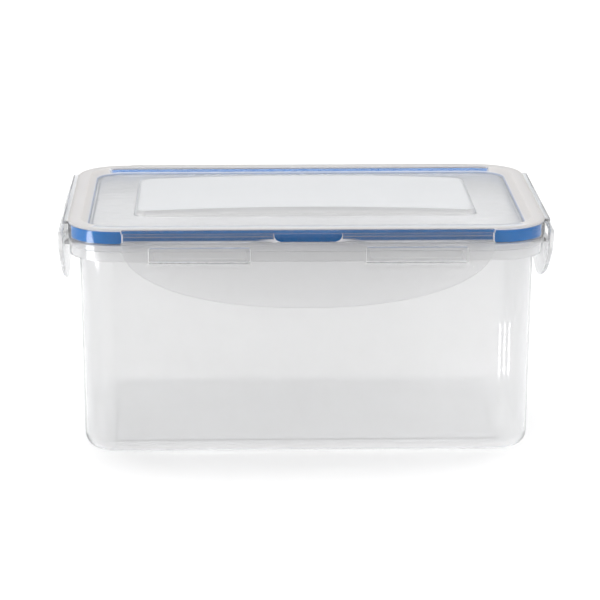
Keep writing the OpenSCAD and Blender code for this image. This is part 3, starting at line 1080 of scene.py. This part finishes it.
def silicone(name):
    material = bpy.data.materials.new(name)
    material.use_nodes = True
    tree = material.node_tree
    skin = tree.nodes["Principled BSDF"]
    grain = noise(tree, 600.0, 3.0)
    bump = node(tree, "ShaderNodeBump", [("Strength", 0.15), ("Distance", 0.0002), ("Height", grain)])
    tree.links.new(mixed_colour(tree, grain, DEEP_BLUE, PALE_BLUE), skin.inputs["Base Color"])
    tree.links.new(bump.outputs[0], skin.inputs["Normal"])
    tree.links.new(between(tree, grain, 0.0, 1.0, 0.35, 0.6), skin.inputs["Roughness"])
    skin.inputs["Specular IOR Level"].default_value = 0.12
    skin.inputs["Subsurface Weight"].default_value = 0.06
    skin.inputs["Subsurface Radius"].default_value = (0.2, 0.5, 1.0)
    skin.inputs["Subsurface Scale"].default_value = 0.001
    return material


blue_silicone = silicone("blue_silicone")

# %% [markdown]
# Now each piece gets its material and its place in the frame: which CAD nodes it replaces,
# and which body it rides on. A strap touches the lid at its top and its latch at its foot,
# and it is left on neither body.

# %% Dressing the pieces
def dress(obj, material, nodes, body):
    """Gives a piece its material, hides the CAD nodes that it stands for, and puts it on the body that
    carries it, if any.
    """
    obj.data.materials.clear()
    obj.data.materials.append(material)
    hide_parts(*nodes)
    if body:
        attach(obj, body)


dress(tub, tub_plastic, ["tub"], "tub")
dress(lid, lid_plastic, ["lid"], "lid")
dress(gasket, blue_silicone, ["gasket"], "lid")
for side, flap in latches.items():
    dress(flap, latch_plastic, [side + "_latch"], side + "_latch")
for side, pair in straps.items():
    dress(pair, strap_plastic, [side + "_hinge_straps"], None)
    turn, reach = math.radians(SIDES[side][0]), SIDES[side][1]
    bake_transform(pair)
print("pieces dressed:", 3 + len(latches) + len(straps))

# %% [markdown]
# ## Floor and light
# The floor is a plain pale sheet. The room is a bright even tent that is darker low down and
# brighter overhead: clear plastic shows nothing but what surrounds it, so the tent is what
# it reflects and bends. The background itself is plain white. A wide light overhead, as from
# a bright sky, lights the whole floor evenly. Soft boxes beside the object shape it, and small
# strips near its front corners give them their narrow highlights.

# %% Floor
FLOOR_SIZE = 16.0
bpy.ops.mesh.primitive_plane_add(size=FLOOR_SIZE)
floor = bpy.context.object
floor.name = "floor"
paper = bpy.data.materials.new("floor_paper")
paper.use_nodes = True
sheet = paper.node_tree.nodes["Principled BSDF"]
sheet.inputs["Base Color"].default_value = (0.93, 0.93, 0.93, 1)
sheet.inputs["Roughness"].default_value = 0.9
sheet.inputs["Specular IOR Level"].default_value = 0.1
floor.data.materials.append(paper)
print("floor:", FLOOR_SIZE, "m square")

# %% Lamps
RIGHT_CORNER = Vector((0.09, -0.055, 0.041))
STRIP_AWAY, STRIP_BELOW = 0.07, 0.019


def lamp(name, kind, power):
    """A lamp that isn't seen itself."""
    light = bpy.data.lights.new(name, kind)
    light.energy = power
    obj = bpy.data.objects.new(name, light)
    obj.visible_camera = False
    bpy.context.collection.objects.link(obj)
    return obj


def soft_box(name, place, size, power, aim=(0, 0, 0.05), shape="RECTANGLE"):
    """A flat glowing box or ellipse that faces a point."""
    obj = lamp(name, "AREA", power)
    obj.data.shape = shape
    obj.data.size, obj.data.size_y = size
    obj.location = place
    obj.rotation_euler = (Vector(aim) - Vector(place)).to_track_quat("-Z", "Y").to_euler()


wide_overhead = lamp("wide_overhead", "SUN", 1.8)
wide_overhead.data.angle = math.radians(44)
wide_overhead.rotation_euler = (math.radians(-20), 0, 0)
soft_box("left_box", (-1.4, -0.7, 0.9), (0.5, 1.2), 6)
soft_box("right_box", (1.4, -0.6, 0.8), (0.5, 1.2), 4)
for turn in (6, 24, 42):
    a = math.radians(turn)
    place = RIGHT_CORNER + Vector((math.sin(a) * STRIP_AWAY, -math.cos(a) * STRIP_AWAY, -STRIP_BELOW))
    soft_box(f"right_strip_{turn}", place, (0.005, 0.022), 0.006, aim=RIGHT_CORNER)
soft_box("left_strip", (-0.221, -0.118, 0.052), (0.06, 0.024), 0.05,
         aim=(-0.09, -0.055, 0.09), shape="ELLIPSE")
print("lamps:", len(bpy.data.lights))

# %% The tent
TENT_LOW, TENT_HIGH = 0.46, 0.68
tent = bpy.data.worlds.new("tent")
tent.use_nodes = True
sky = tent.node_tree
sky.nodes.clear()
way = node(sky, "ShaderNodeTexCoord")
height = node(sky, "ShaderNodeSeparateXYZ", [(0, way.outputs["Generated"])]).outputs[2]
cloth = node(sky, "ShaderNodeBackground", [
    ("Color", (1, 1, 1, 1)), ("Strength", between(sky, height, -0.2, 1.0, TENT_LOW, TENT_HIGH))])
backdrop = node(sky, "ShaderNodeBackground", [("Color", (1, 1, 1, 1)), ("Strength", 1.0)])
ray = node(sky, "ShaderNodeLightPath")
seen = mixed_shader(sky, ray.outputs["Is Camera Ray"], cloth, backdrop)
node(sky, "ShaderNodeOutputWorld", [(0, seen.outputs[0])])
bpy.context.scene.world = tent
